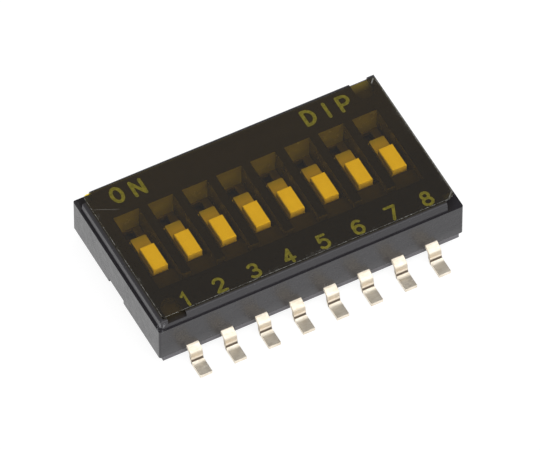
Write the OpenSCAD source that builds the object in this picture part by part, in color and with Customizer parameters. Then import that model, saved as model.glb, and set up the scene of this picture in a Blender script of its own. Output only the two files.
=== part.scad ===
// Surface-mount slide DIP switch on a 1.27 mm pitch, top-sealed with a film.
// Millimetres. X runs along the row from position 1 to the last one, -Y is the
// numbered (OFF) side, +Y the ON side, and Z = 0 is the underside of the solder
// feet. The sliders are drawn at OFF and travel along +Y to ON.

/* [Positions] */
// Number of switch positions
ways = 8; // [2:1:10]
// Distance between neighbouring positions
pitch = 1.27; // [1.27:0.01:1.6]

/* [Cover] */
// Outermost position to the end face of the cover
end_margin = 1.205; // [1.15:0.005:1.8]
// Width of the cover
cover_w = 6.2; // [6:0.05:6.8]
// Height of the side walls from their lower edge up to the ledge
wall_h = 1.37; // [1.32:0.01:1.6]
// Height of the raised deck above the ledge
deck_h = 0.34; // [0.28:0.01:0.5]
// Width of the ledge round the foot of the deck
ledge = 0.06; // [0.04:0.01:0.12]
// Inward lean of the deck's sides over their height
deck_draft = 0.06; // [0.02:0.01:0.1]
// Thickness of the walls round the cavity
wall_t = 0.34; // [0.25:0.01:0.45]
// Radius on the upright edges of the side walls
wall_r = 0.07; // [0.03:0.01:0.12]
// Radius on the top edges of the deck
deck_r = 0.07; // [0.03:0.01:0.12]

/* [Windows] */
// Width of a window
window_w = 0.95; // [0.9:0.01:1.02]
// Length of the row of windows across the cover
window_l = 3.32; // [3.2:0.02:3.6]
// Distance by which the windows lie off centre towards the numbered side
window_shift = 0.05; // [0:0.01:0.08]
// Depth of a window down to the web
window_depth = 0.95; // [0.9:0.01:1.0]
// Thickness of the web that the sliders pass through
web_t = 0.18; // [0.15:0.01:0.2]
// Length by which the ribs stop short at the numbered end
gutter_l = 0.21; // [0.1:0.01:0.3]
// Depth of the shelf at the numbered end
shelf_depth = 0.31; // [0.28:0.01:0.5]
// Ledge left between a slot and the far wall of its window
slot_ledge = 0.05; // [0.03:0.01:0.1]

/* [Deck corners] */
// Radius of the round notch in two opposite corners
notch_r = 0.34; // [0.2:0.01:0.4]
// Depth of the round notch
notch_depth = 0.16; // [0.1:0.01:0.24]
// Centre of the round notch to the deck's end face
notch_end_inset = 0.6; // [0.5:0.01:0.65]
// Centre of the round notch to the deck's long face
notch_side_inset = 0.48; // [0.4:0.01:0.6]
// Length of the square cut in the other two corners
corner_cut_l = 0.43; // [0.3:0.01:0.5]
// Width of that square cut
corner_cut_w = 0.37; // [0.25:0.01:0.5]
// Width of the relief in the foot of each end wall
relief_w = 1.04; // [0.6:0.02:1.6]
// Height of that relief
relief_h = 0.15; // [0.08:0.01:0.25]
// Depth of that relief into the wall
relief_d = 0.16; // [0.1:0.01:0.2]

/* [Base] */
// Height of the base plate above the board
stand_off = 0.26; // [0.2:0.01:0.32]
// Thickness of the base plate under the walls
base_t = 0.23; // [0.2:0.01:0.4]
// Inset of the base from the cover's end faces
base_end_inset = 0.14; // [0.08:0.01:0.2]
// Inset of the base from the cover's long faces
base_side_inset = 0.03; // [0:0.01:0.08]
// Height of the frame round the wells, above the terminals
frame_h = 0.12; // [0.08:0.01:0.16]
// Length of the contact well in the frame
well_l = 2.9; // [2.6:0.05:3.2]
// Thickness of the partitions between positions
partition_t = 0.27; // [0.25:0.01:0.32]
// Gap between the raised middle of the base and the cover
key_gap = 0.03; // [0.01:0.01:0.05]

/* [Sliders] */
// Travel from OFF to ON
travel = 0.75; // [0.7:0.01:0.82]
// Gap at each end of the travel
stop_gap = 0.04; // [0.02:0.005:0.05]
// Running gap beside and above the slider
run_gap = 0.04; // [0.02:0.005:0.05]
// Width of the knob
knob_w = 0.53; // [0.4:0.01:0.54]
// Length of the knob
knob_l = 1.01; // [0.8:0.01:1.1]
// Height of the knob above the neck
knob_h = 0.3; // [0.25:0.01:0.4]
// Depth of the knob's top below the deck
knob_drop = 0.05; // [0.03:0.01:0.1]
// Edge radius of the knob
knob_r = 0.035; // [0.02:0.005:0.05]
// Width of the neck, above the web
neck_w = 0.57; // [0.54:0.01:0.62]
// Length of the neck
neck_l = 1.65; // [1.5:0.01:1.68]
// Corner radius at the neck's ON end
neck_r = 0.05; // [0.03:0.01:0.12]
// Width of the stem that passes through the web
stem_w = 0.32; // [0.26:0.01:0.4]
// Width of the flange under the web
flange_w = 0.88; // [0.8:0.01:0.92]
// Length of the flange beyond the neck at each end
flange_over = 0.5; // [0.3:0.01:0.55]
// Thickness of the flange
flange_t = 0.16; // [0.14:0.01:0.18]

/* [Contacts] */
// Sheet thickness of the moving contact
spring_t = 0.06; // [0.05:0.005:0.07]
// Width of the moving contact
spring_w = 0.6; // [0.4:0.02:0.7]
// Half length of its flat middle
spring_flat = 0.2; // [0.18:0.01:0.24]
// Slope of its arms
spring_slope = 30; // [25:1:35]
// Inside radius of its bends
spring_r = 0.09; // [0.06:0.01:0.1]
// Length of its turned-up tips
spring_tip = 0.08; // [0.04:0.01:0.1]
// Radius of the stud that holds it on the slider
stud_r = 0.08; // [0.06:0.01:0.1]
// Gap between the contact and what it rides on
touch_gap = 0.005; // [0.002:0.001:0.01]

/* [Terminals] */
// Width of a terminal
lead_w = 0.44; // [0.3:0.01:0.5]
// Thickness of a terminal
lead_t = 0.13; // [0.1:0.01:0.15]
// Length of the sloping shoulder outside the cover
shoulder_l = 0.14; // [0.08:0.01:0.2]
// Slope of the shoulder
shoulder_slope = 22.5; // [11.25:11.25:33.75]
// Slope of the leg
leg_slope = 78.75; // [67.5:11.25:90]
// Inside radius of the gull-wing bends
lead_r = 0.06; // [0.04:0.01:0.1]
// Overall span across the solder feet
span = 8.2; // [8:0.05:9.6]
// Inner end of the front terminals
front_pad_y = -0.1; // [-0.2:0.01:0]
// Inner end of the rear terminals
rear_pad_y = 0.6; // [0.5:0.01:0.7]

/* [Seal film] */
// Inset of the film from the deck's end faces, before its shift
film_end_inset = 0.19; // [0.12:0.01:0.3]
// Inset of the film from the deck's long faces
film_side_inset = 0.12; // [0.08:0.01:0.2]
// Thickness of the film
film_t = 0.05; // [0.03:0.01:0.08]
// Corner radius of the film
film_r = 0.1; // [0.05:0.01:0.3]
// Distance by which the film lies off centre towards position 1
film_shift = 0.04; // [0:0.01:0.04]

/* [Hidden] */
$fn = 32;
cut = 0.1;                                  // how far a cutter runs past a face
positions = [1:ways];

// Heights
rim_z = stand_off + base_t;                 // base plate's top, under the walls
base_top = rim_z + lead_t;                  // raised middle, flush with the terminals
ledge_z = rim_z + wall_h;
deck_z = ledge_z + deck_h;
web_top = deck_z - window_depth;
web_under = web_top - web_t;
shelf_z = deck_z - shelf_depth;
partition_z = base_top + frame_h + key_gap;
knob_top = deck_z - knob_drop;
neck_top = knob_top - knob_h;
neck_under = web_top + run_gap;
flange_top = web_under - run_gap;
flange_under = flange_top - flange_t;

// Plan sizes
cover_l = (ways - 1) * pitch + 2 * end_margin;
deck_inset = ledge + deck_draft;
deck = [cover_l - 2 * deck_inset, cover_w - 2 * deck_inset];
room = [cover_l - 2 * wall_t, cover_w - 2 * wall_t];
cell_w = pitch - partition_t;
window_row = (ways - 1) * pitch + window_w;

// Places along Y, with the slider at OFF
window_back = window_l / 2 - window_shift;
window_front = -window_l / 2 - window_shift;
slot_back = window_back - slot_ledge;
slot_l = neck_l + travel + 2 * stop_gap;
slot_front = slot_back - slot_l;
neck_front = slot_front + stop_gap;
contact_y = -travel / 2;

// Bend radii at mid thickness
lead_mid_r = lead_r + lead_t / 2;
spring_mid_r = spring_r + spring_t / 2;

// Centre of a position
function at_x(i) = (i - (ways + 1) / 2) * pitch;

// A box centred on X and Y, from one height to another
module block(size, z0, z1) {
    translate([-size[0] / 2, -size[1] / 2, z0]) cube([size[0], size[1], z1 - z0]);
}

// A box between two places along Y
module span_block(w, y0, y1, z0, z1) {
    translate([-w / 2, y0, z0]) cube([w, y1 - y0, z1 - z0]);
}

// A rectangle with round corners
module round_rect(size, r) {
    inner = [size[0] - 2 * r, size[1] - 2 * r];
    square([size[0], inner[1]], center = true);
    square([inner[0], size[1]], center = true);
    for (sx = [-1, 1], sy = [-1, 1])
        translate([sx * inner[0] / 2, sy * inner[1] / 2]) circle(r);
}

// An outline with round top corners, standing on its lower edge
module round_top(w, h, r) {
    translate([-w / 2, 0]) square([w, h - r]);
    translate([-w / 2 + r, 0]) square([w - 2 * r, h]);
    for (s = [-1, 1]) translate([s * (w / 2 - r), h - r]) circle(r);
}

// A block whose top edges are rounded on all four sides
module round_top_block(size, h, r) {
    intersection() {
        along_y(size[1]) round_top(size[0], h, r);
        along_x(size[0]) round_top(size[1], h, r);
    }
}

// An outline that leans in by draft on each side, up to round top corners
module drafted_top(w, h, r, draft) {
    side = norm([draft, h]);
    centre = [w / 2 - r * (side - draft) / h, h - r];
    touch = centre + r / side * [h, draft];
    polygon([
        [-w / 2 - draft, 0], [w / 2 + draft, 0], touch, [centre[0], h],
        [-centre[0], h], [-touch[0], touch[1]]
    ]);
    for (s = [-1, 1]) translate([s * centre[0], centre[1]]) circle(r);
}

// A block with drafted sides and rounded top edges; size is that of its top
module drafted_block(size, h, r, draft) {
    intersection() {
        along_y(size[1] + 2 * draft) drafted_top(size[0], h, r, draft);
        along_x(size[0] + 2 * draft) drafted_top(size[1], h, r, draft);
    }
}

// Extrudes an outline in (X, Z) along Y, centred
module along_y(l) {
    translate([0, l / 2, 0]) rotate([90, 0, 0]) linear_extrude(l) children();
}

// Extrudes an outline in (Y, Z) along X, centred
module along_x(l) {
    translate([-l / 2, 0, 0]) rotate([90, 0, 90]) linear_extrude(l) children();
}

// Side view of a strip bent from sheet of thickness t. A step [length, 0] runs
// straight on, and a step [r, angle] bends by angle at mid radius r.
module bent_strip(steps, t, k = 0) {
    if (k < len(steps)) {
        size = steps[k][0];
        turn = steps[k][1];
        if (turn == 0) {
            translate([0, -t / 2]) square([size, t]);
            translate([size, 0]) bent_strip(steps, t, k + 1);
        } else {
            side = sign(turn);
            translate([0, side * size]) {
                bend_sector(size, t, side, abs(turn));
                rotate(turn) translate([0, -side * size]) bent_strip(steps, t, k + 1);
            }
        }
    }
}

// Part of a ring that starts below (side 1) or above (side -1) its centre
module bend_sector(r, t, side, angle) {
    reach = 2 * (r + t);
    intersection() {
        difference() {
            circle(r + t / 2);
            circle(r - t / 2);
        }
        scale([1, side]) polygon([
            [0, 0],
            [0, -reach],
            [reach * tan(angle / 2), -reach],
            [reach * sin(angle), -reach * cos(angle)]
        ]);
    }
}

// Places a copy in each of two opposite corners of the deck
module opposite_corners() {
    for (a = [0, 180]) rotate(a) children();
}

// ---- Cover: one moulding with a raised deck, windows and a ribbed cavity ----

module cover_body() {
    translate([0, 0, rim_z]) linear_extrude(wall_h) round_rect([cover_l, cover_w], wall_r);
    block(deck, ledge_z - cut, ledge_z + cut);
    translate([0, 0, ledge_z]) drafted_block(deck, deck_h, deck_r, deck_draft);
}

// One window with its shelf at the numbered end and the slot in its web
module window_cut() {
    span_block(window_w, slot_front, window_back, web_top, deck_z + cut);
    span_block(window_w, window_front, slot_front + cut, shelf_z, deck_z + cut);
    span_block(stem_w + 2 * run_gap, slot_front, slot_back, web_under - cut, web_top + cut);
}

// Gutter that joins the windows in front of the rib ends
module gutter_cut() {
    span_block(window_row, window_front, window_front + gutter_l, shelf_z, deck_z + cut);
}

// Cell for one slider's flange and contact, under the web
module cell_cut() {
    block([cell_w, room[1]], partition_z - cut, web_under);
}

// Notches in the lower edges of the long walls, where a terminal comes out
module wall_notch_cut() {
    block([lead_w, cover_w + 2 * cut], rim_z - cut, base_top);
}

module round_notch_cut() {
    notch_x = -deck[0] / 2 + notch_end_inset;
    notch_y = -deck[1] / 2 + notch_side_inset;
    translate([notch_x, notch_y, deck_z - notch_depth]) {
        cylinder(r = notch_r, h = notch_depth + cut);
        translate([-notch_r, -notch_side_inset - cut, 0])
            cube([2 * notch_r, notch_side_inset + cut, notch_depth + cut]);
    }
}

module square_corner_cut() {
    translate([-deck[0] / 2 - cut, deck[1] / 2 - corner_cut_w, ledge_z])
        cube([corner_cut_l + cut, corner_cut_w + cut, deck_h + cut]);
}

module end_relief_cut() {
    for (s = [-1, 1])
        translate([s * cover_l / 2, 0, 0])
            block([2 * relief_d, relief_w], rim_z - cut, rim_z + relief_h);
}

module cover() {
    color([0.13, 0.13, 0.14])
    difference() {
        cover_body();
        block(room, rim_z - cut, partition_z);
        for (i = positions) translate([at_x(i), 0, 0]) {
            window_cut();
            cell_cut();
            wall_notch_cut();
        }
        gutter_cut();
        opposite_corners() round_notch_cut();
        opposite_corners() square_corner_cut();
        end_relief_cut();
    }
}

// ---- Base: plate with a raised middle moulded round the terminals, and a framed well a position ----

module terminal_grooves() {
    for (i = positions) translate([at_x(i), 0, 0]) {
        span_block(lead_w, -cover_w / 2, front_pad_y, rim_z, base_top);
        span_block(lead_w, rear_pad_y, cover_w / 2, rim_z, base_top);
    }
}

module base() {
    plate = [cover_l - 2 * base_end_inset, cover_w - 2 * base_side_inset];
    frame = [room[0] - 2 * key_gap, room[1] - 2 * key_gap];
    color([0.17, 0.17, 0.18])
    difference() {
        union() {
            block(plate, stand_off, rim_z);
            difference() {
                block(frame, rim_z - base_t / 2, base_top + frame_h);
                for (i = positions) translate([at_x(i), 0, 0])
                    block([cell_w, well_l], base_top, base_top + frame_h + cut);
            }
        }
        terminal_grooves();
    }
}

// ---- Terminals: gull-wing leads whose inner ends are the fixed contacts ----

// Side view of a terminal from its inner end outwards, at mid thickness
function terminal_steps(inner_y) =
    let (
        bends_drop = 2 * lead_mid_r * (1 - cos(leg_slope)),
        bends_run = 2 * lead_mid_r * sin(leg_slope),
        leg_l = (rim_z - bends_drop - shoulder_l * sin(shoulder_slope)) / sin(leg_slope),
        slopes_run = shoulder_l * cos(shoulder_slope) + leg_l * cos(leg_slope),
        foot_l = (span - cover_w) / 2 - bends_run - slopes_run
    ) [
        [cover_w / 2 - inner_y, 0],
        [lead_mid_r, -shoulder_slope],
        [shoulder_l, 0],
        [lead_mid_r, shoulder_slope - leg_slope],
        [leg_l, 0],
        [lead_mid_r, leg_slope],
        [foot_l, 0]
    ];

module terminal(inner_y) {
    color([0.82, 0.8, 0.74])
    along_x(lead_w) translate([inner_y, base_top - lead_t / 2])
        bent_strip(terminal_steps(inner_y), lead_t);
}

module terminal_front(i) {
    translate([at_x(i), 0, 0]) rotate(180) terminal(-front_pad_y);
}

module terminal_rear(i) {
    translate([at_x(i), 0, 0]) terminal(rear_pad_y);
}

// ---- Slider: knob and neck, stem through the web, and flange in the cavity ----

module slider(i) {
    neck_y = neck_front + neck_l / 2;
    knob_y = neck_front + knob_l / 2;
    color([0.9, 0.87, 0.78])
    translate([at_x(i), 0, 0]) {
        translate([0, knob_y, neck_top - cut])
            round_top_block([knob_w, knob_l], knob_h + cut, knob_r);
        difference() {
            span_block(neck_w, neck_front, neck_front + neck_l, neck_under, neck_top);
            neck_corner_cuts();
        }
        span_block(stem_w, neck_front, neck_front + neck_l, flange_top - cut, neck_under + cut);
        translate([0, neck_y, 0])
            block([flange_w, neck_l + 2 * flange_over], flange_under, flange_top);
        translate([0, contact_y, flange_under - spring_t])
            cylinder(r = stud_r, h = spring_t + cut);
    }
}

// Rounds the two upright corners at the neck's ON end
module neck_corner_cuts() {
    for (s = [-1, 1])
        translate([s * (neck_w / 2 - neck_r), neck_front + neck_l - neck_r, neck_under - cut])
            difference() {
                translate([s > 0 ? 0 : -neck_r - cut, 0, 0])
                    cube([neck_r + cut, neck_r + cut, neck_top - neck_under + 2 * cut]);
                translate([0, 0, -cut]) cylinder(r = neck_r, h = neck_top - neck_under + 4 * cut);
            }
}

// ---- Moving contact: sprung bridge on the underside of each slider ----

// Half of its side view, from the middle to one turned-up tip
function contact_steps() =
    let (
        drop = flange_under - base_top - spring_t - touch_gap,
        bends = 2 * spring_mid_r * (1 - cos(spring_slope)),
        arm_l = (drop - bends) / sin(spring_slope)
    ) [
        [spring_flat, 0],
        [spring_mid_r, -spring_slope],
        [arm_l, 0],
        [spring_mid_r, 2 * spring_slope],
        [spring_tip, 0]
    ];

module moving_contact(i) {
    color([0.85, 0.68, 0.32])
    translate([at_x(i), contact_y, flange_under - spring_t / 2])
    difference() {
        for (a = [0, 180]) rotate(a)
            along_x(spring_w) bent_strip(contact_steps(), spring_t);
        translate([0, 0, -spring_t]) cylinder(r = stud_r + touch_gap, h = 2 * spring_t);
    }
}

// ---- Seal film: amber tape over the deck ----

module seal_film() {
    film = [deck[0] - 2 * film_end_inset, deck[1] - 2 * film_side_inset];
    color([0.78, 0.52, 0.12, 0.5])
    translate([-film_shift, 0, deck_z]) linear_extrude(film_t) round_rect(film, film_r);
}

cover();
base();
seal_film();
for (i = positions) {
    slider(i);
    moving_contact(i);
    terminal_front(i);
    terminal_rear(i);
}
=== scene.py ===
"""Looks for a surface-mount slide DIP switch sealed with an amber film.

The CAD nodes keep their shapes and get procedural materials. The film is
remade to the photo's outline, with a little room for the print under it, and
the print, the floor, the lamp and the camera are added.
Sizes are in millimetres, in the CAD frame: +X along the row, +Y towards ON.
"""

import math

import bmesh
import bpy
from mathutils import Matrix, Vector

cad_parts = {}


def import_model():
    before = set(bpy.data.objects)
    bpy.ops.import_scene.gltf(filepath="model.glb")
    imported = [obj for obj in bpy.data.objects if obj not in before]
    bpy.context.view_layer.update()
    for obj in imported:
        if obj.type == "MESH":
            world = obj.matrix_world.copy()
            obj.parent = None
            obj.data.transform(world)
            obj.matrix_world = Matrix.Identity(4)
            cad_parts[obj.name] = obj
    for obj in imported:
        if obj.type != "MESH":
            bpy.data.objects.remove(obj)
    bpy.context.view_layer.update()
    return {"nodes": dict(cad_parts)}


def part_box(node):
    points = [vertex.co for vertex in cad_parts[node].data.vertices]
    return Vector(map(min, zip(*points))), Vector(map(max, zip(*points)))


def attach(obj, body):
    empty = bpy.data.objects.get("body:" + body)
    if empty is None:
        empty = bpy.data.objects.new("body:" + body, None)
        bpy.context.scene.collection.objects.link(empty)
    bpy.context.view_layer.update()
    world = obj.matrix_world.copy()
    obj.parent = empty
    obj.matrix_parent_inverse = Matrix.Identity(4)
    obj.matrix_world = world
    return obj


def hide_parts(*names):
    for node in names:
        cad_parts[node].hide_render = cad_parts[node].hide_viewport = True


MM = 0.001
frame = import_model()
nodes = frame["nodes"]
POSITIONS = range(1, 1 + sum(name.startswith("slider_") for name in nodes))


def box_mm(name):
    """Lowest and highest corner of a CAD node, in millimetres."""
    low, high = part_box(name)
    return low / MM, high / MM


# ---- Sizes ----

# How far the photo's film reaches past the CAD film, at its lowest and highest corner
FILM_GROWS_LOW = Vector((0.02, 0.01, 0))
FILM_GROWS_HIGH = Vector((0.17, 0.01, 0))
FILM_SLANT = 0.04      # fall of its back edge towards the right
FILM_GAP = 0.006       # from the deck up to its underside
# Its corners round from the back right: side along X, side along Y and radius
FILM_CORNERS = [(1, 1, 0.08), (-1, 1, 0.14), (-1, -1, 0.1), (1, -1, 0.26)]

film_lo, film_hi = box_mm("seal_film")
film_lo -= FILM_GROWS_LOW
film_hi += FILM_GROWS_HIGH
deck_z = box_mm("cover")[1].z

# Places on the cover where its finish changes, and where light is painted on it
WINDOW_MID_Y = -0.05   # middle of the row of windows
WINDOW_HALF_L = 1.66   # half their length
WINDOWS_END_X = 5.0    # just past the outermost windows
WINDOW_SLACK = 0.01    # how far the windows' painted light reaches into their walls
WINDOW_LIP = 0.02      # from the deck down to where that painted light begins
WELL_DEPTH = 0.95      # from the deck down to the windows' floor
SHELF_DEPTH = 0.31     # from the deck down to the shelf in front of each knob
SHELF_END_Y = -0.86    # just past the shelves' end, under the knobs
NOTCH_DEPTH = 0.16     # from the deck down to the floor of the corner notches
LEDGE_DEPTH = 0.34     # from the deck down to the walls' top
WALL_FOOT_Z = 0.49     # lower edge of the cover's walls
WALL_FOOT_H = 0.45     # height of the paler band above it
DECK_LEFT = (-5.5, -5.53)          # across the top of the deck's left side, outwards
DECK_FOOT = (0.33, 0.2)            # the foot of that side, down from the deck
BACK_NOTCH = (2.6, 3.0)            # Y where a notch's painted blue-grey light comes in, towards the back
WET_SPAN = (-1.8, 2.2)             # Y where the glued deck pales, towards the back
FAR_WALL_INSET = 0.015             # how far in front of the far walls their painted light begins
WINDOW_FADE = (0.1, 0.9)           # the windows' walls are painted paler, as lit, between these depths
FLOOR_SKIN = 0.01                  # the windows' floor keeps its painted light up to this height
WORN_CORNER = (-5.55, -2.97, 2.0)  # the deck's rubbed corner, at the front left
WORN_REACH = (0.26, 0.08)          # its nicks start this far away, and are full this near
FLAT = 0.004                       # half the slice that picks out a level face
SHELF_FLAT = 0.01                  # the same for the shelves

# Places on the sliders and the terminals
KNOB_FOOT_Z = 1.85     # top of the sliders' necks
KNOB_FADE = (0.02, 0.3)            # the necks' painted shade gives way to the knobs' tone between these heights over it
NECK_END_Y = 0.77      # the necks' ON end, with the sliders at OFF
NECK_SHADE = (0.32, 0.05)          # the necks' painted shade deepens between these distances from it
WALL_Y = 3.1           # outer face of the long walls, where the terminals come out
CREASE_Y = 3.465       # crease between a terminal's leg and its foot
CREASE_SPAN = (0.02, 0.026)        # how far it reaches inwards and outwards
CREASE_TOP = (0.25, 0.2)           # it comes in between these heights, from above
HEEL_SPAN = (0.03, 0.21)           # a foot's rise is highest, and has ended, this far out
HEEL_TOP = (0.3, 0.2)              # the rise comes in between these heights, from above
LEG_L = 0.2            # reach of a leg inwards from the crease
LEG_FOOT = (0.15, 0.2)             # a leg's painted shade comes in between these heights, from below
LEG_TOP = (0.5, 0.42)              # the same from above
SHOULDER_Z = 0.42      # a shoulder lies above this height
SHOULDER_END = 0.1     # and has fallen away this far inwards from the crease

# Marks on the film
FILM_RIM = 0.024       # width of the pale speckled line along its cut edge
SCUFF_W = 0.16         # width of the scuffed band inside that edge
# Glints painted as pale lines, the first along a crease in the film: start, end, half width and
# strength
FILM_GLINTS = [((-5.38, 2.21), (-4.53, 1.78), 0.02, 0.11),
              ((5.2, -2.89), (5.56, -2.5), 0.03, 0.22),
              ((5.24, 2.6), (5.44, 2.82), 0.035, 0.3)]

# Print
INK_T = 0.004          # thickness of the print
INK_STEP = 0.0004      # each stroke of a sign lies this much higher than the last
DIGIT_STROKE = 0.106   # width of the digits' strokes
LETTER_STROKE = 0.123  # width of the letters' strokes
DIGIT_H = 0.53         # height of a digit between the middles of its strokes
LETTER_H = 0.58        # the same for a letter
DIGIT_Y = -2.745       # middle of the digits' lowest stroke
DIGIT_SHIFT = 0.1      # how far the digits lie towards +X from their sliders
DIGIT_SPREAD = 0.013   # how much wider than the sliders they are spaced
# Each word: lower left corner, gap between its letters and rise to the right
WORDS = {"ON": ((-4.54, 2.12), 0.39, -0.06), "DIP": ((2.6, 2.06), 0.48, -0.01)}


# ---- Colours and strengths ----

COVER_BLACK = (0.024, 0.0225, 0.0265)
BASE_BLACK = (0.11, 0.105, 0.118)
FLOW_DARK, FLOW_PALE = 0.85, 1.2   # how far the moulding's flow darkens and pales it
FOOT_LIFT = 0.028                  # how much paler the walls are at their foot
SPECK_GREY, SPECK_STRENGTH = (0.08, 0.075, 0.07), 0.25
NICK_GREY, NICK_STRENGTH = (0.42, 0.42, 0.44), 0.6
SPECULAR = (0.5, 0.03)             # of a glossy face, and of a wholly matt one
LEDGE_MATT = (0.9, 0.15)           # how matt the ledge is, and how matt at the left end
NOTCH_MATT = 0.7
# painted light on the back notches' floor
BACK_NOTCH_LIGHT = (0.17, 0.18, 0.26)
WET_FRONT, WET_BACK = (0.0085, 0.008, 0.009), (0.017, 0.016, 0.013)
# Painted light in the windows: their walls near the deck and deep down, paler deep down and palest
# on the far walls; the floor painted lit, and the shelf painted dark as shade
SIDE_WALL_LIT = (0.06, 0.056, 0.04), (0.09, 0.082, 0.05)
FAR_WALL_LIT = (0.13, 0.132, 0.11), (0.28, 0.29, 0.16)
WINDOW_FLOOR_LIT = (0.125, 0.11, 0.065)
SHELF_SHADED = (0.034, 0.031, 0.022)
KNOB_CREAM = (0.83, 0.78, 0.66), (0.9, 0.86, 0.76)
# Painted shade: the necks are painted darker than the knobs, and darker still towards their end
NECK_CREAM_IN_SHADE = (0.47, 0.43, 0.37), (0.57, 0.53, 0.46)
NECK_SHADED, NECK_SHADING = (0.15, 0.2, 0.25), 0.5
FLANGE_CREAM = (0.92, 0.88, 0.78)
TIN_PALE, TIN_DARK = (0.93, 0.86, 0.74), (0.74, 0.65, 0.51)
# painted shade on the terminals' legs
TIN_LEG_SHADED = (0.62, 0.54, 0.43)
TIN_CREASE = (0.11, 0.085, 0.065)
GOLD_PALE, GOLD_DARK = (0.9, 0.68, 0.3), (0.8, 0.56, 0.2)
AMBER = (0.88, 0.66, 0.05), (0.92, 0.7, 0.065)
# a frosted white for the scuffs, also used for the painted glints
FROST_AND_GLINT = (0.62, 0.62, 0.58)
INK_TONES = (0.13, 0.2, 0.5), (0.24, 0.34, 0.9)
WHITE = (1, 1, 1)
FLOOR_GREY = (0.25, 0.25, 0.25)


# ---- Shader graph helpers ----

def new_material(name):
    """An empty material with its output node. Returns (material, output)."""
    mat = bpy.data.materials.new(name)
    mat.use_nodes = True
    mat.node_tree.nodes.clear()
    return mat, node(mat, "OutputMaterial")


def node(owner, kind, settings=None, **inputs):
    """Adds a shader node. Inputs are named with _ for a space, or _0, _1 by place."""
    made = owner.node_tree.nodes.new("ShaderNode" + kind)
    for key, value in (settings or {}).items():
        setattr(made, key, value)
    for key, value in inputs.items():
        place = int(key[1:]) if key.startswith("_") else key.replace("_", " ")
        feed(owner, made.inputs[place], value)
    return made


def feed(owner, socket, value):
    """Links an output into a socket, or sets its value."""
    if isinstance(value, bpy.types.NodeSocket):
        owner.node_tree.links.new(value, socket)
    elif isinstance(value, bpy.types.Node):
        owner.node_tree.links.new(value.outputs[0], socket)
    elif socket.type == "RGBA" and len(value) == 3:
        socket.default_value = (*value, 1)
    else:
        socket.default_value = value


def maths(owner, operation, a, b=0.0, clamp=False):
    return node(owner, "Math", {"operation": operation, "use_clamp": clamp}, _0=a, _1=b).outputs[0]


def vector_maths(owner, operation, a, b):
    """The outputs of a vector operation: the vector, and the number."""
    return node(owner, "VectorMath", {"operation": operation}, _0=a, _1=b).outputs


def product(owner, *factors):
    total = factors[0]
    for factor in factors[1:]:
        total = maths(owner, "MULTIPLY", total, factor)
    return total


def highest(owner, *values):
    most = values[0]
    for value in values[1:]:
        most = maths(owner, "MAXIMUM", most, value)
    return most


def inverse(owner, value):
    """1 less the value."""
    return maths(owner, "SUBTRACT", 1.0, value)


def mix_colour(owner, factor, a, b):
    made = node(owner, "Mix", {"data_type": "RGBA"}, Factor=factor)
    feed(owner, made.inputs[6], a)
    feed(owner, made.inputs[7], b)
    return made.outputs[2]


def blend_value(owner, factor, a, b):
    return node(owner, "MapRange", Value=factor, To_Min=a, To_Max=b).outputs[0]


def ramp(owner, value, low, high, start=0.0, end=1.0):
    """Maps value from low to high onto start to end, and holds it outside."""
    return node(owner, "MapRange", Value=value, From_Min=low, From_Max=high,
                To_Min=start, To_Max=end).outputs[0]


def above(owner, value, edge, soft=0.002):
    """1 above an edge, and 0 below it."""
    return ramp(owner, value, edge - soft, edge + soft)


def within(owner, value, low, high, soft=0.002):
    """1 between two edges, and 0 outside them."""
    return maths(owner, "SUBTRACT", above(owner, value, low, soft), above(owner, value, high, soft))


def place_mm(owner):
    """A point's place in the CAD frame, in millimetres."""
    at = node(owner, "TexCoord").outputs["Object"]
    return node(owner, "VectorMath", {"operation": "SCALE"}, _0=at, Scale=1 / MM).outputs[0]


def axes(owner, at):
    """The X, Y and Z of a place."""
    return node(owner, "SeparateXYZ", Vector=at).outputs[:]


def noise(owner, at, scale, detail=2.0, rough=0.5, stretch=None):
    """Noise from 0 to 1, mostly between 0.3 and 0.7, with scale in cells a millimetre."""
    if stretch:
        at = vector_maths(owner, "MULTIPLY", at, stretch)[0]
    return node(owner, "TexNoise", Vector=at, Scale=scale, Detail=detail, Roughness=rough).outputs[0]


def patches(owner, at, low, high, start=0.0, end=1.0, **shape):
    """Noise spread so that low gives start and high gives end."""
    return ramp(owner, noise(owner, at, **shape), low, high, start, end)


def bumped(owner, height, depth_mm, normal=None):
    made = node(owner, "Bump", Height=height, Strength=1.0, Distance=depth_mm * MM)
    if normal is not None:
        feed(owner, made.inputs["Normal"], normal)
    return made.outputs[0]


def soft_edges(owner, radius_mm):
    return node(owner, "Bevel", {"samples": 4}, Radius=radius_mm * MM).outputs[0]


# ---- Places ----

def under_film(owner, at):
    """1 on the deck's top where the film's glue wets it, and 0 elsewhere."""
    x, y, z = axes(owner, at)
    return product(owner, above(owner, z, deck_z - FLAT), within(owner, x, film_lo.x, film_hi.x),
                   within(owner, y, film_lo.y, film_hi.y))


def level_face(owner, z, depth, half=FLAT):
    """1 on faces that lie level at a depth below the deck."""
    return within(owner, z, deck_z - depth - half, deck_z - depth + half)


def in_windows(owner, at):
    """1 on the walls, shelf and floor inside the windows, and 0 elsewhere."""
    x, y, z = axes(owner, at)
    reach = WINDOW_HALF_L + WINDOW_SLACK
    return product(owner, within(owner, y, WINDOW_MID_Y - reach, WINDOW_MID_Y + reach),
                   within(owner, x, -WINDOWS_END_X, WINDOWS_END_X),
                   inverse(owner, above(owner, z, deck_z - WINDOW_LIP)))


def on_shelf(owner, at):
    """1 on the shelves in front of the knobs."""
    _, y, z = axes(owner, at)
    return product(owner, level_face(owner, z, SHELF_DEPTH, SHELF_FLAT), in_windows(owner, at),
                   inverse(owner, above(owner, y, SHELF_END_Y)))


def worn_corner(owner, at):
    """Pale nicks where the deck's front left corner is rubbed."""
    away = vector_maths(owner, "DISTANCE", at, WORN_CORNER)[1]
    nicks = patches(owner, at, 0.5, 0.62, scale=15.0, detail=3.0)
    return product(owner, ramp(owner, away, *WORN_REACH), nicks, NICK_STRENGTH)


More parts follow.
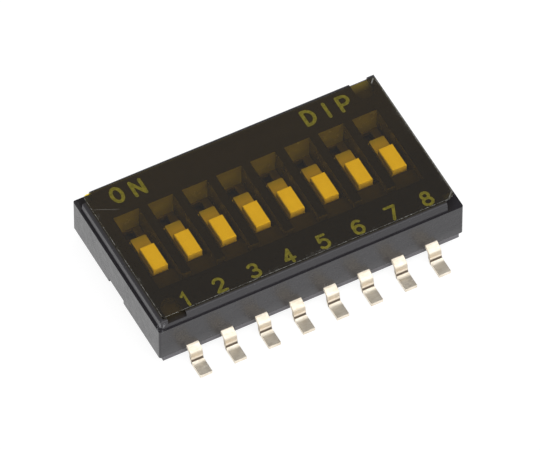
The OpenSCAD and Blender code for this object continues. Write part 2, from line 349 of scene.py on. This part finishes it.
def on_line(owner, at, start, end, width):
    """1 along a straight mark between two places on the film, fading at its ends."""
    start, end = Vector((*start, 0)), Vector((*end, 0))
    along = (end - start).normalized()
    across = Vector((-along.y, along.x, 0))
    offset = vector_maths(owner, "SUBTRACT", at, start)[0]
    run = vector_maths(owner, "DOT_PRODUCT", offset, along)[1]
    side = vector_maths(owner, "DOT_PRODUCT", offset, across)[1]
    length = (end - start).length
    fade = product(owner, ramp(owner, run, 0, 0.2 * length), ramp(owner, run, length, 0.8 * length))
    return product(owner, fade, ramp(owner, maths(owner, "ABSOLUTE", side), width, 0.3 * width))


# ---- Materials ----

def window_finish(owner, at):
    """Light painted inside the windows: palest on the far walls and towards the floor, with the
    shelf painted darker as shade.
    """
    _, y, z = axes(owner, at)
    fade_from, fade_to = (deck_z - depth for depth in WINDOW_FADE)
    deep = ramp(owner, z, fade_from, fade_to)
    far_wall = above(owner, y, WINDOW_MID_Y + WINDOW_HALF_L - FAR_WALL_INSET, soft=0.005)
    tone = mix_colour(owner, far_wall, mix_colour(owner, deep, *SIDE_WALL_LIT),
                      mix_colour(owner, deep, *FAR_WALL_LIT))
    off_floor = above(owner, z, deck_z - WELL_DEPTH + FLOOR_SKIN)
    tone = mix_colour(owner, off_floor, WINDOW_FLOOR_LIT, tone)
    return mix_colour(owner, on_shelf(owner, at), tone, SHELF_SHADED)


def matt_places(owner, at):
    """How matt the moulding is: wholly under the film, and less in notches and on the ledge."""
    x, _, z = axes(owner, at)
    left = ramp(owner, x, *DECK_LEFT)
    ledge = product(owner, level_face(owner, z, LEDGE_DEPTH), inverse(owner, in_windows(owner, at)),
                    blend_value(owner, left, *LEDGE_MATT))
    low, high = (deck_z - depth for depth in DECK_FOOT)
    foot = product(owner, left, within(owner, z, low, high, soft=0.02))
    notch = maths(owner, "MULTIPLY", level_face(owner, z, NOTCH_DEPTH), NOTCH_MATT)
    return highest(owner, under_film(owner, at), ledge, on_shelf(owner, at), notch, foot)


def moulding(name, colour, rough, grain):
    """Black glass-filled moulding: soft gloss, cloudy flow and a fine grain, with light painted
    inside the windows and on the back notches.
    """
    mat, out = new_material(name)
    at = place_mm(mat)
    _, y, z = axes(mat, at)
    flow = noise(mat, at, scale=0.7, detail=3.0)
    tone = mix_colour(mat, flow, [c * FLOW_DARK for c in colour], [c * FLOW_PALE for c in colour])
    specks = patches(mat, at, 0.66, 0.74, 0, SPECK_STRENGTH, scale=22.0, detail=1.0)
    tone = mix_colour(mat, specks, tone, SPECK_GREY)
    foot = ramp(mat, z, WALL_FOOT_Z + WALL_FOOT_H, WALL_FOOT_Z)
    tone = mix_colour(mat, foot, tone, [c + FOOT_LIFT for c in colour])
    tone = mix_colour(mat, worn_corner(mat, at), tone, NICK_GREY)
    # painted light and shade on the windows' walls, floor and shelf
    tone = mix_colour(mat, in_windows(mat, at), tone, window_finish(mat, at))
    # painted light: the back notches' floor turns pale blue-grey
    back_notch_light = product(mat, level_face(mat, z, NOTCH_DEPTH), ramp(mat, y, *BACK_NOTCH))
    tone = mix_colour(mat, back_notch_light, tone, BACK_NOTCH_LIGHT)
    wetted = mix_colour(mat, ramp(mat, y, *WET_SPAN), WET_FRONT, WET_BACK)
    tone = mix_colour(mat, under_film(mat, at), tone, wetted)
    uneven = patches(mat, at, 0.3, 0.7, -0.06, 0.08, scale=4.0, detail=5.0, rough=0.65)
    peel = noise(mat, at, scale=3.2, detail=3.0, rough=0.6)
    normal = bumped(mat, peel, depth_mm=0.009, normal=soft_edges(mat, radius_mm=0.018))
    normal = bumped(mat, noise(mat, at, scale=30.0), grain, normal)
    shader = node(mat, "BsdfPrincipled", Base_Color=tone, Normal=normal,
                  Roughness=maths(mat, "ADD", uneven, rough),
                  Specular_IOR_Level=blend_value(mat, matt_places(mat, at), *SPECULAR))
    feed(mat, out.inputs[0], shader)
    return mat


def cream_plastic():
    """The sliders' cream moulding, with painted shade: darker on the neck than on the knob and the
    flange.
    """
    mat, out = new_material("slider_cream")
    at = place_mm(mat)
    _, y, z = axes(mat, at)
    # the neck is painted in shade, darker towards its end
    neck = mix_colour(mat, noise(mat, at, scale=3.0, detail=3.0), *NECK_CREAM_IN_SHADE)
    shade_from, shade_to = (NECK_END_Y - inset for inset in NECK_SHADE)
    shaded = ramp(mat, y, shade_from, shade_to, 0, NECK_SHADING)
    neck = mix_colour(mat, shaded, neck, NECK_SHADED)
    lower = mix_colour(mat, above(mat, z, deck_z - WELL_DEPTH), FLANGE_CREAM, neck)
    fade_from, fade_to = (KNOB_FOOT_Z + rise for rise in KNOB_FADE)
    knob = mix_colour(mat, noise(mat, at, scale=4.0, detail=3.0), *KNOB_CREAM)
    tone = mix_colour(mat, ramp(mat, z, fade_from, fade_to), lower, knob)
    fine = noise(mat, at, scale=18.0, detail=3.0)
    normal = bumped(mat, fine, depth_mm=0.002, normal=soft_edges(mat, radius_mm=0.02))
    shader = node(mat, "BsdfPrincipled", Base_Color=tone, Normal=normal,
                  Roughness=patches(mat, at, 0.3, 0.7, 0.38, 0.52, scale=7.0))
    feed(mat, out.inputs[0], shader)
    return mat


def formed_marks(owner, at, tone):
    """Paints shade onto a terminal's leg, and darkens the crease where the leg meets the foot."""
    _, y, z = axes(owner, at)
    out = maths(owner, "ABSOLUTE", y)
    leg = product(owner, above(owner, out, CREASE_Y - LEG_L, soft=0.01),
                  ramp(owner, z, *LEG_FOOT), ramp(owner, z, *LEG_TOP))
    tone = mix_colour(owner, leg, tone, TIN_LEG_SHADED)
    inwards, outwards = CREASE_SPAN
    crease = within(owner, out, CREASE_Y - inwards, CREASE_Y + outwards, soft=0.01)
    crease = product(owner, crease, ramp(owner, z, *CREASE_TOP))
    return mix_colour(owner, crease, tone, TIN_CREASE)


def pressed_form(owner, at):
    """Relief of the bends: the foot rises to the crease, and the shoulder falls outwards."""
    _, y, z = axes(owner, at)
    out = maths(owner, "ABSOLUTE", y)
    rise_from, rise_to = (CREASE_Y + reach for reach in HEEL_SPAN)
    rise = ramp(owner, out, rise_from, rise_to, 1, 0)
    foot = product(owner, rise, rise, ramp(owner, z, *HEEL_TOP))
    shoulder = product(owner, ramp(owner, out, WALL_Y, CREASE_Y - SHOULDER_END, 1, 0),
                       above(owner, z, SHOULDER_Z, soft=0.02))
    return maths(owner, "ADD", foot, shoulder)


def strip_metal(name, pale, dark, rough, metallic=1.0, formed=False):
    """Plated strip: rolled grain along the strip, soft stains and a fine matt; on formed terminals,
    painted shade on the legs.
    """
    mat, out = new_material(name)
    at = place_mm(mat)
    rolled = noise(mat, at, scale=9.0, detail=3.0, rough=0.6, stretch=(0.5, 3.0, 0.5))
    stains = patches(mat, at, 0.35, 0.7, 0, 0.6, scale=2.6, detail=4.0, rough=0.6)
    worn = maths(mat, "ADD", stains, ramp(mat, rolled, 0.4, 0.65, 0, 0.4))
    tone = mix_colour(mat, worn, pale, dark)
    normal = soft_edges(mat, radius_mm=0.02)
    if formed:
        # painted shade on the leg, and a darker crease
        tone = formed_marks(mat, at, tone)
        normal = bumped(mat, pressed_form(mat, at), depth_mm=0.07, normal=normal)
    normal = bumped(mat, rolled, depth_mm=0.009, normal=normal)
    fine = noise(mat, at, scale=16.0, detail=3.0)
    normal = bumped(mat, fine, depth_mm=0.005, normal=normal)
    roughness = patches(mat, at, 0.3, 0.7, rough - 0.07, rough + 0.09, scale=6.0, detail=4.0)
    shader = node(mat, "BsdfPrincipled", Base_Color=tone, Metallic=metallic, Roughness=roughness,
                  Normal=normal)
    feed(mat, out.inputs[0], shader)
    return mat


def film_marks(owner, at):
    """How pale the film is painted: a speckled line at its cut edge, scuffs inside it, and painted
    glints along straight lines.
    """
    x, y, _ = axes(owner, at)
    to_edge = maths(owner, "MINIMUM", maths(owner, "SUBTRACT", x, film_lo.x),
                    maths(owner, "SUBTRACT", film_hi.x, x))
    to_edge = maths(owner, "MINIMUM", to_edge, maths(owner, "SUBTRACT", y, film_lo.y))
    rim = product(owner, ramp(owner, to_edge, FILM_RIM, 0.6 * FILM_RIM),
                  patches(owner, at, 0.42, 0.68, 0.04, 0.52, scale=11.0, detail=4.0, rough=0.8))
    scuffs = product(owner, ramp(owner, to_edge, SCUFF_W, 0.5 * SCUFF_W),
                     patches(owner, at, 0.52, 0.62, scale=1.3),
                     patches(owner, at, 0.52, 0.66, 0, 0.22, scale=16.0, detail=3.0, rough=0.8,
                             stretch=(0.5, 2.0, 1.0)))
    glints = [maths(owner, "MULTIPLY", on_line(owner, at, start, end, width), strength)
             for start, end, width, strength in FILM_GLINTS]
    return highest(owner, rim, scuffs, *glints)


def amber_film():
    """Clear amber tape: its top tints what is seen through it and mirrors a little."""
    mat, out = new_material("amber_film")
    at = place_mm(mat)
    shape = node(mat, "NewGeometry").outputs
    level = maths(mat, "ABSOLUTE", axes(mat, shape["True Normal"])[2])
    middle_z = (film_lo.z + film_hi.z) / 2
    facing = above(mat, level, 0.5, soft=0.1)
    on_top = product(mat, facing, above(mat, axes(mat, at)[2], middle_z))
    streaks = noise(mat, at, scale=3.0, stretch=(0.12, 1.0, 1.0))
    tint = mix_colour(mat, on_top, WHITE, mix_colour(mat, streaks, *AMBER))
    clear = node(mat, "BsdfTransparent", Color=tint)
    wavy = bumped(mat, noise(mat, at, scale=1.1), depth_mm=0.006)
    gloss = node(mat, "BsdfGlossy", Color=WHITE, Roughness=0.08, Normal=wavy)
    mirror = product(mat, node(mat, "Fresnel", IOR=1.5, Normal=wavy).outputs[0],
                     inverse(mat, shape["Backfacing"]))
    mixed = node(mat, "MixShader", Fac=mirror, _1=clear, _2=gloss)
    # pale scuffs and edge line, and painted glints, on the film's top
    frost_and_glint = node(mat, "BsdfDiffuse", Color=FROST_AND_GLINT)
    marked = product(mat, on_top, film_marks(mat, at))
    mixed = node(mat, "MixShader", Fac=marked, _1=mixed, _2=frost_and_glint)
    feed(mat, out.inputs[0], mixed)
    return mat


def ink():
    """Pale print, a little worn, seen through the film."""
    mat, out = new_material("print_ink")
    worn = patches(mat, place_mm(mat), 0.35, 0.6, scale=9.0, detail=4.0, rough=0.65)
    shader = node(mat, "BsdfPrincipled", Base_Color=mix_colour(mat, worn, *INK_TONES),
                  Roughness=0.8, Specular_IOR_Level=0.0)
    feed(mat, out.inputs[0], shader)
    return mat


# By the start of a CAD node's name
CAD_MATERIALS = {
    "cover": moulding("cover_black", COVER_BLACK, rough=0.22, grain=0.0022),
    "base": moulding("base_black", BASE_BLACK, rough=0.42, grain=0.003),
    "slider": cream_plastic(),
    "terminal": strip_metal("tin_plate", TIN_PALE, TIN_DARK, rough=0.42, metallic=0.78, formed=True),
    "moving_contact": strip_metal("gold_plate", GOLD_PALE, GOLD_DARK, rough=0.25),
}
FILM = amber_film()
INK = ink()


def dress_cad_nodes():
    for name, obj in nodes.items():
        for start, mat in CAD_MATERIALS.items():
            if name.startswith(start):
                obj.data.materials.clear()
                obj.data.materials.append(mat)


# ---- Mesh helpers ----

def new_object(name, mesh, mat):
    """Puts a mesh with its material into the scene."""
    mesh.materials.append(mat)
    obj = bpy.data.objects.new(name, mesh)
    bpy.context.scene.collection.objects.link(obj)
    return obj


def finish_bmesh(bm, name, mat):
    """A piece of the housing from a mesh in millimetres."""
    bmesh.ops.recalc_face_normals(bm, faces=bm.faces[:])
    for vert in bm.verts:
        vert.co *= MM
    mesh = bpy.data.meshes.new(name)
    bm.to_mesh(mesh)
    bm.free()
    obj = new_object(name, mesh, mat)
    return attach(obj, "housing")


def arc(cx, cy, rx, ry, start, end, steps=14):
    """Points along an ellipse from one angle to another, in degrees."""
    turns = [math.radians(start + (end - start) * k / steps) for k in range(steps + 1)]
    return [(cx + rx * math.cos(t), cy + ry * math.sin(t)) for t in turns]


def ribbon_outline(line, width, closed):
    """Left and right edge points of a stroke along a line, with mitred bends."""
    left, right = [], []
    count = len(line)
    for k, here in enumerate(line):
        here = Vector(here)
        before = Vector(line[k - 1] if k or closed else line[k])
        after = Vector(line[(k + 1) % count] if k < count - 1 or closed else line[k])
        along = [d.normalized() for d in (here - before, after - here) if d.length > 1e-9]
        mean = sum(along, Vector((0, 0))).normalized()
        side = Vector((-mean.y, mean.x)) * (width / 2) / max(mean.dot(along[0]), 0.5)
        left.append(here + side)
        right.append(here - side)
    return left, right


def stroke_loop(line, width):
    """The closed outline of an open stroke, with round ends."""
    left, right = ribbon_outline(line, width, False)
    ends = []
    for tip, inner in ((line[-1], line[-2]), (line[0], line[1])):
        out = math.degrees(math.atan2(tip[1] - inner[1], tip[0] - inner[0]))
        ends.append(arc(tip[0], tip[1], width / 2, width / 2, out - 90, out + 90, 6))
    return [*right[:-1], *map(Vector, ends[0]), *left[-2:0:-1], *map(Vector, ends[1])]


def add_ring(bm, loop, z):
    return [bm.verts.new((*p, z)) for p in loop]


def add_walls(bm, low, high):
    """Joins two rings of vertices with faces."""
    for k in range(len(low)):
        j = (k + 1) % len(low)
        bm.faces.new((low[k], low[j], high[j], high[k]))


def add_slab(bm, loop, low_z, high_z):
    """Adds a flat slab with the outline of a loop."""
    low, high = add_ring(bm, loop, low_z), add_ring(bm, loop, high_z)
    bm.faces.new(high)
    bm.faces.new(low[::-1])
    add_walls(bm, low, high)


def add_stroke(bm, line, width, z, thick):
    """Adds one raised stroke, open or closed, to a mesh in millimetres."""
    closed = (Vector(line[0]) - Vector(line[-1])).length < 1e-6
    if not closed:
        add_slab(bm, stroke_loop(line, width), z, z + thick)
        return
    left, right = ribbon_outline(line[:-1], width, True)
    edges = ((left, z), (left, z + thick), (right, z + thick), (right, z))
    rings = [add_ring(bm, edge, height) for edge, height in edges]
    for a, b in zip(rings, rings[1:] + rings[:1]):
        add_walls(bm, a, b)


# ---- Print ----

# Each glyph is a list of strokes in a box one unit high.
GLYPHS = {
    "1": [[(0.0, 0.78), (0.2, 1.0), (0.2, 0.0)]],
    "2": [arc(0.3, 0.71, 0.29, 0.29, 165, -38) + [(0.0, 0.0)], [(0.0, 0.0), (0.6, 0.0)]],
    "3": [arc(0.27, 0.755, 0.26, 0.245, 150, -90), arc(0.27, 0.26, 0.32, 0.26, 90, -150)],
    "4": [[(0.43, 0.0), (0.43, 1.0)], [(0.43, 1.0), (0.0, 0.27)], [(0.0, 0.27), (0.62, 0.27)]],
    "5": [[(0.54, 1.0), (0.1, 1.0), (0.06, 0.56)],
          [(0.06, 0.56)] + arc(0.28, 0.33, 0.32, 0.33, 110, -145)],
    "6": [arc(0.36, 0.5, 0.35, 0.5, 55, 180), arc(0.31, 0.31, 0.3, 0.31, 0, 360, 22)],
    "7": [[(0.0, 1.0), (0.62, 1.0)], [(0.62, 1.0), (0.22, 0.0)]],
    "8": [arc(0.3, 0.76, 0.24, 0.24, 0, 360, 20), arc(0.3, 0.27, 0.3, 0.27, 0, 360, 22)],
    "O": [arc(0.31, 0.5, 0.31, 0.5, 0, 360, 26)],
    "N": [[(0.0, 0.0), (0.0, 1.0)], [(0.0, 1.0), (0.62, 0.0)], [(0.62, 0.0), (0.62, 1.0)]],
    "D": [[(0.0, 0.0), (0.0, 1.0)],
          [(0.0, 1.0)] + arc(0.14, 0.5, 0.46, 0.5, 90, -90, 18) + [(0.0, 0.0)]],
    "I": [[(0.0, 0.0), (0.0, 1.0)]],
    "P": [[(0.0, 0.0), (0.0, 1.0)],
          [(0.0, 1.0)] + arc(0.32, 0.71, 0.28, 0.29, 90, -90, 14) + [(0.0, 0.42)]],
}


def glyph_width(letter):
    return max(p[0] for line in GLYPHS[letter] for p in line)


def print_glyph(name, letter, x, y, height, stroke):
    """One printed sign with its lower left corner at (x, y)."""
    bm = bmesh.new()
    for k, line in enumerate(GLYPHS[letter], start=1):
        placed = [(x + p[0] * height, y + p[1] * height) for p in line]
        add_stroke(bm, placed, stroke, deck_z + INK_STEP * k, INK_T)
    finish_bmesh(bm, name, INK)


def print_word(word, at, gap, rise):
    x, y = at
    for letter in word:
        slope_y = y + rise * (x - at[0])
        print_glyph(f"print_{word}_{letter}", letter, x, slope_y, LETTER_H, LETTER_STROKE)
        x += glyph_width(letter) * LETTER_H + gap


def print_marks():
    for word, layout in WORDS.items():
        print_word(word, *layout)
    middle = (len(POSITIONS) + 1) / 2
    for i in POSITIONS:
        low, high = box_mm(f"slider_{i}")
        digit = str(i)
        centre = (low.x + high.x) / 2 + DIGIT_SHIFT + DIGIT_SPREAD * (i - middle)
        x = centre - glyph_width(digit) * DIGIT_H / 2
        print_glyph(f"print_digit_{i}", digit, x, DIGIT_Y, DIGIT_H, DIGIT_STROKE)


# ---- Film ----

def seal_film():
    """The film as a slab with round corners, its underside just off the deck."""
    loop = []
    for k, (sx, sy, radius) in enumerate(FILM_CORNERS):
        cx = (film_hi.x if sx > 0 else film_lo.x) - sx * radius
        cy = (film_hi.y if sy > 0 else film_lo.y) - sy * radius
        if sx > 0 and sy > 0:
            cy -= FILM_SLANT
        loop += arc(cx, cy, radius, radius, 90 * k, 90 * k + 90, 8)
    bm = bmesh.new()
    add_slab(bm, loop, film_lo.z + FILM_GAP, film_hi.z)
    film = finish_bmesh(bm, "film", FILM)
    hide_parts("seal_film")


# ---- Studio ----

FLOOR_SIZE = 2.0       # in metres
FLOOR_Z = -0.003       # a hair below the solder feet, in millimetres
FLOOR_GLOW = 0.86      # what the floor adds to its lit grey where it is seen
CAMERA_AZIMUTH = -27.8
CAMERA_ELEVATION = 52.05
CAMERA_DISTANCE = 0.3494
CAMERA_LENS = 704.8
CAMERA_AIM = Vector((0.044, -0.048, 0.75)) * MM
# The room's glow at the front and at the back, and the Y of a ray between which it turns
ROOM_GLOW, ROOM_TURN = (2.3, 0.6), (-0.9, 0.7)
# The share of it that is left near the floor, and the Z of a ray between which it comes in
LOW_SHARE, LOW_EDGE = 0.3, (0.12, 0.3)
# The ceiling's glow, and the Z of a ray between which it takes over
CEILING_GLOW, CEILING_EDGE = 0.44, (0.58, 0.72)


def towards(azimuth, elevation):
    """Unit vector from the object to a place round it. Azimuth 0 is in front, at -Y."""
    a, e = math.radians(azimuth), math.radians(elevation)
    return Vector((math.sin(a) * math.cos(e), -math.cos(a) * math.cos(e), math.sin(e)))


def aimed(name, data, back):
    """Puts a camera or a lamp into the scene that looks against the vector back."""
    obj = bpy.data.objects.new(name, data)
    obj.rotation_euler = (-back).to_track_quat("-Z", "Y").to_euler()
    bpy.context.scene.collection.objects.link(obj)
    return obj


def camera():
    data = bpy.data.cameras.new("camera")
    data.lens = CAMERA_LENS
    data.clip_start, data.clip_end = 0.01, 10
    back = towards(CAMERA_AZIMUTH, CAMERA_ELEVATION)
    obj = aimed("camera", data, back)
    obj.location = CAMERA_AIM + back * CAMERA_DISTANCE
    bpy.context.scene.camera = obj


def softbox(name, azimuth, elevation, distance, size, radiance):
    """A square lamp aimed at the object, given by how bright its face looks."""
    data = bpy.data.lights.new(name, "AREA")
    data.size = size
    data.energy = radiance * math.pi * size * size
    back = towards(azimuth, elevation)
    aimed(name, data, back).location = back * distance


def seen_directly(owner):
    """1 for the camera, and for what mirrors or passes its rays."""
    path = node(owner, "LightPath").outputs
    seen = maths(owner, "ADD", path["Is Camera Ray"], path["Is Glossy Ray"], clamp=True)
    return maths(owner, "ADD", seen, path["Is Transmission Ray"], clamp=True)


def floor():
    mat, out = new_material("floor_white")
    pale = node(mat, "BsdfDiffuse", Color=FLOOR_GREY)
    glow = node(mat, "Emission", Color=WHITE,
                Strength=maths(mat, "MULTIPLY", seen_directly(mat), FLOOR_GLOW))
    feed(mat, out.inputs[0], node(mat, "AddShader", _0=pale, _1=glow))
    s = FLOOR_SIZE / 2
    corners = [(-s, -s), (s, -s), (s, s), (-s, s)]
    mesh = bpy.data.meshes.new("floor")
    mesh.from_pydata([(*p, FLOOR_Z * MM) for p in corners], [], [(0, 1, 2, 3)])
    plane = new_object("floor", mesh, mat)


def world():
    """A white room, brightest in front, with a greyer ceiling; the camera sees plain white."""
    room = bpy.data.worlds.new("room")
    room.use_nodes = True
    room.node_tree.nodes.clear()
    bpy.context.scene.world = room
    _, y, z = axes(room, node(room, "TexCoord").outputs["Generated"])
    level = product(room, ramp(room, z, *LOW_EDGE, LOW_SHARE, 1.0),
                    ramp(room, y, *ROOM_TURN, *ROOM_GLOW))
    level = blend_value(room, ramp(room, z, *CEILING_EDGE), level, CEILING_GLOW)
    level = blend_value(room, node(room, "LightPath").outputs["Is Camera Ray"], level, 1.0)
    back = node(room, "Background", Color=WHITE, Strength=level)
    feed(room, node(room, "OutputWorld").inputs[0], back)


camera()
world()
floor()
softbox("softbox_key", azimuth=30, elevation=64, distance=0.3, size=0.2, radiance=1.3)
dress_cad_nodes()
print_marks()
seal_film()

bpy.context.scene.view_settings.view_transform = "Standard"
